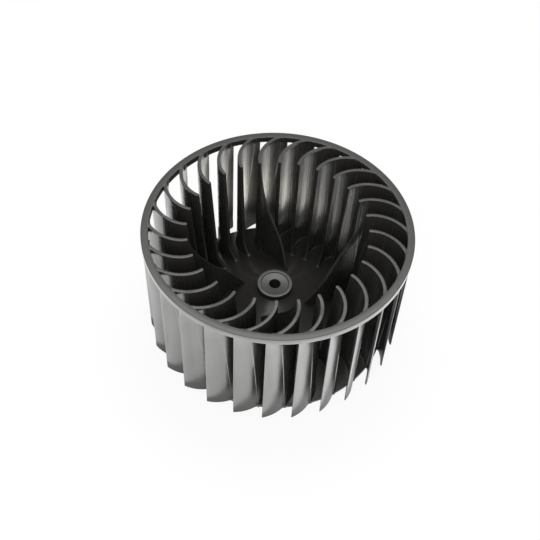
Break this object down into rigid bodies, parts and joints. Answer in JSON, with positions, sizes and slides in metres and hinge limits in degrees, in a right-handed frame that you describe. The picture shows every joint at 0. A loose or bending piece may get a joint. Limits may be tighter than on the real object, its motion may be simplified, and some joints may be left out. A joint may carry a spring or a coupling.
{
  "type": "blower wheel",
  "caption": "Centrifugal blower wheel: forward curved blades round an open mouth, a trumpet back plate, a bored hub and thin swept webs.",
  "frame": {"origin": "on the wheel's axis, in the plane of the back plate's foot and the blades' lower ends", "axes": "+Z along the axis, out of the mouth; +X through the crest of the first web's blade"},
  "size_m": [0.15, 0.15, 0.0786],
  "materials": {
    "moulded_plastic": "satin, as moulded"
  },
  "bodies": {
    "root": {"blower_wheel": "moulded_plastic"}
  },
  "joints": []
}
